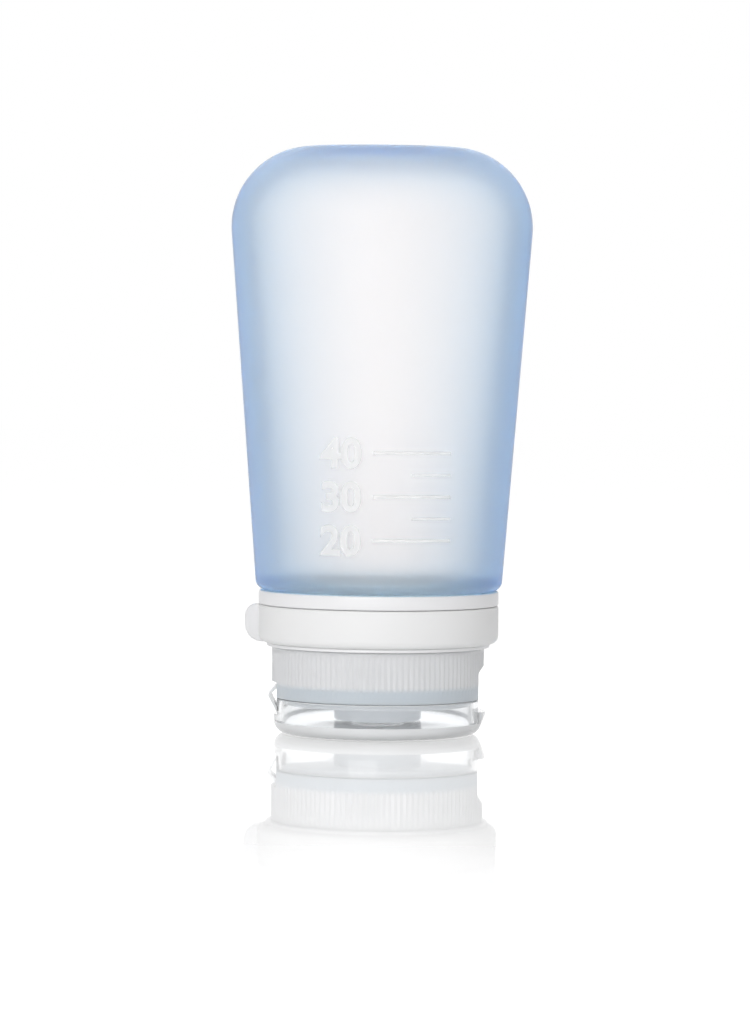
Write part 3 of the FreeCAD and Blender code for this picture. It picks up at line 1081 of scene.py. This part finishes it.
class TRAVEL_BOTTLE_OT_film_hinge(bpy.types.Operator):
    """Draw the film hinge that joins lid and cap, in its folded shape"""

    bl_idname = "travel_bottle.film_hinge"
    bl_label = "Film Hinge"

    def execute(self, context):
        settings = context.scene.travel_bottle.lid
        low, high = strap_low.z * MM, strap_high.z * MM
        wall, tip = strap_high.x * MM, strap_low.x * MM
        width = (strap_high.y - strap_low.y) * MM
        fold, root, film = 7.0, 0.9, 0.55
        outer_round, inner_round = 0.5, 0.25
        bend, slices = 0.3, 12
        bm = bmesh.new()
        outlined(bm, [
            (wall, high),
            (tip, fold, outer_round),
            (wall, low),
            (wall, low + root),
            (tip + film, fold, inner_round),
            (wall, high - root),
        ])
        plated(bm, width)
        for i in range(1, slices):
            sliced(bm, (0, 0, low + (high - low) * i / slices), (0, 0, 1))
        bmesh.ops.recalc_face_normals(bm, faces=bm.faces)
        piece = finished(bm, "film_hinge", hazy_plastic(settings), sharp=40)
        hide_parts("hinge_strap")
        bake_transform(piece)
        return {"FINISHED"}


def studio_world(settings):
    """White all round but greyer at the bottle's flanks and above, and plain light for matt surfaces."""
    flank_shift, flank_start, flank_end = 0.16, 0.44, 0.98
    world = bpy.data.worlds.new("studio")
    bpy.context.scene.world = world
    world.use_nodes = True
    tree = world.node_tree
    path = wired(tree, "LightPath", {}).outputs
    direction = wired(tree, "TexCoord", {}).outputs["Generated"]
    parts = wired(tree, "SeparateXYZ", {"Vector": direction}).outputs
    aside = reckoned(tree, "ABSOLUTE", reckoned(tree, "SUBTRACT", parts["X"], flank_shift))
    outward = reckoned(tree, "MAXIMUM", aside, parts["Z"])
    flank = faded(tree, outward, flank_start, flank_end, 1.0, settings.flanks)
    through = reckoned(tree, "MAXIMUM", path["Is Glossy Ray"], path["Is Transmission Ray"])
    level = wired(tree, "MapRange", {"Value": through, "To Min": settings.sky, "To Max": flank})
    shown = reckoned(tree, "MAXIMUM", level.outputs["Result"], path["Is Camera Ray"])
    fed(tree, tree.nodes["Background"], {"Color": (1, 1, 1, 1), "Strength": shown})


def glossy_white_floor(settings):
    """White floor that keeps a faint shadow, and a reflection that fades away from the bottle."""
    white_share, fade_start, fade_end = 0.8, 0.12, 0.25
    material = bpy.data.materials.new("glossy white floor")
    material.use_nodes = True
    tree = material.node_tree
    tree.nodes.remove(tree.nodes["Principled BSDF"])
    path = wired(tree, "LightPath", {}).outputs
    seen = reckoned(tree, "MAXIMUM", path["Is Camera Ray"], path["Is Glossy Ray"])
    seen = reckoned(tree, "MAXIMUM", seen, path["Is Transmission Ray"])
    white = reckoned(tree, "MULTIPLY", seen, white_share)
    matt = wired(tree, "BsdfDiffuse", {"Color": (0.85, 0.85, 0.85, 1)}).outputs["BSDF"]
    glow = wired(tree, "Emission", {"Strength": 1.15}).outputs["Emission"]
    base = wired(tree, "MixShader", {"Fac": white, 1: matt, 2: glow}).outputs["Shader"]
    away = wired(tree, "VectorMath", {0: object_place(tree)}, operation="LENGTH").outputs["Value"]
    fade = faded(tree, away, fade_start, fade_end, settings.floor_gloss, 0.0)
    gloss = reckoned(tree, "MULTIPLY", fade, path["Is Camera Ray"])
    mirror = wired(tree, "BsdfGlossy", {"Color": (1, 1, 1, 1), "Roughness": 0.03}).outputs["BSDF"]
    shown = wired(tree, "MixShader", {"Fac": gloss, 1: base, 2: mirror}).outputs["Shader"]
    fed(tree, tree.nodes["Material Output"], {"Surface": shown})
    return material


def soft_lamp(name, power, size, location):
    """Square soft lamp that faces the bottle."""
    aim = Vector((0, 0, 0.06))
    lamp = bpy.data.lights.new(name, "AREA")
    lamp.energy = power
    lamp.size = size
    holder = bpy.data.objects.new(name, lamp)
    holder.location = location
    holder.rotation_euler = (aim - holder.location).to_track_quat("-Z", "Y").to_euler()
    holder.visible_camera = False
    bpy.context.scene.collection.objects.link(holder)


class TRAVEL_BOTTLE_OT_studio(bpy.types.Operator):
    """Set the floor, the light and the camera"""

    bl_idname = "travel_bottle.studio"
    bl_label = "Studio"

    def execute(self, context):
        settings = context.scene.travel_bottle.studio
        context.scene.view_settings.view_transform = "Standard"
        studio_world(settings)
        floor_cells, floor_reach, floor_gap = 8, 4.0 * MM, 0.05
        bm = bmesh.new()
        bmesh.ops.create_grid(bm, x_segments=floor_cells, y_segments=floor_cells, size=floor_reach)
        bmesh.ops.translate(bm, vec=(0, 0, -floor_gap), verts=bm.verts)
        floor = finished(bm, "floor", glossy_white_floor(settings))

        soft_lamp("key", settings.key, size=0.6, location=(-0.26, -0.95, 0.36))
        soft_lamp("back", settings.back, size=0.5, location=(0.0, 0.60, 0.14))
        soft_lamp("top", settings.top, size=0.5, location=(0.0, 0.05, 0.75))

        view = bpy.data.cameras.new("camera")
        view.lens = settings.focal
        view.sensor_width = 36.0
        view.clip_start = 0.01
        camera = bpy.data.objects.new("camera", view)
        camera.location = (settings.aside, -settings.distance, settings.height)
        aim = Vector((settings.aside, 0, settings.aim_height))
        turn = (aim - camera.location).to_track_quat("-Z", "Y").to_matrix().to_4x4()
        turn = turn @ Matrix.Rotation(settings.roll, 4, "Z")
        camera.rotation_euler = turn.to_euler()
        context.scene.collection.objects.link(camera)
        context.scene.camera = camera
        return {"FINISHED"}


OPERATORS = (
    TRAVEL_BOTTLE_OT_silicone_bottle,
    TRAVEL_BOTTLE_OT_fill_scale,
    TRAVEL_BOTTLE_OT_threaded_collar,
    TRAVEL_BOTTLE_OT_pull_band,
    TRAVEL_BOTTLE_OT_ribbed_cap,
    TRAVEL_BOTTLE_OT_slit_valve,
    TRAVEL_BOTTLE_OT_neck_washer,
    TRAVEL_BOTTLE_OT_clear_lid,
    TRAVEL_BOTTLE_OT_film_hinge,
    TRAVEL_BOTTLE_OT_studio,
)


class TRAVEL_BOTTLE_PT_project(bpy.types.Panel):
    """Settings and steps of the travel bottle"""

    bl_idname = "TRAVEL_BOTTLE_PT_project"
    bl_label = "Travel Bottle"
    bl_space_type = "VIEW_3D"
    bl_region_type = "UI"
    bl_category = "Travel Bottle"

    def draw(self, context):
        project = context.scene.travel_bottle
        for group in project.bl_rna.properties:
            if group.type == "POINTER" and group.identifier != "rna_type":
                box = self.layout.box()
                box.label(text=group.name)
                settings = getattr(project, group.identifier)
                for setting in settings.bl_rna.properties:
                    if setting.identifier not in {"rna_type", "name"}:
                        box.prop(settings, setting.identifier)
        for operator in OPERATORS:
            self.layout.operator(operator.bl_idname)


CLASSES = (
    BottleSettings,
    ScaleSettings,
    CollarSettings,
    BandSettings,
    CapSettings,
    LidSettings,
    SealSettings,
    StudioSettings,
    BottleProject,
    *OPERATORS,
    TRAVEL_BOTTLE_PT_project,
)


def register():
    for cls in CLASSES:
        bpy.utils.register_class(cls)
    bpy.types.Scene.travel_bottle = PointerProperty(type=BottleProject)


def unregister():
    del bpy.types.Scene.travel_bottle
    for cls in reversed(CLASSES):
        bpy.utils.unregister_class(cls)


def main():
    register()
    bpy.ops.travel_bottle.silicone_bottle()
    bpy.ops.travel_bottle.fill_scale()
    bpy.ops.travel_bottle.threaded_collar()
    bpy.ops.travel_bottle.pull_band()
    bpy.ops.travel_bottle.ribbed_cap()
    bpy.ops.travel_bottle.slit_valve()
    bpy.ops.travel_bottle.neck_washer()
    bpy.ops.travel_bottle.clear_lid()
    bpy.ops.travel_bottle.film_hinge()
    bpy.ops.travel_bottle.studio()


if __name__ == "__main__":
    main()
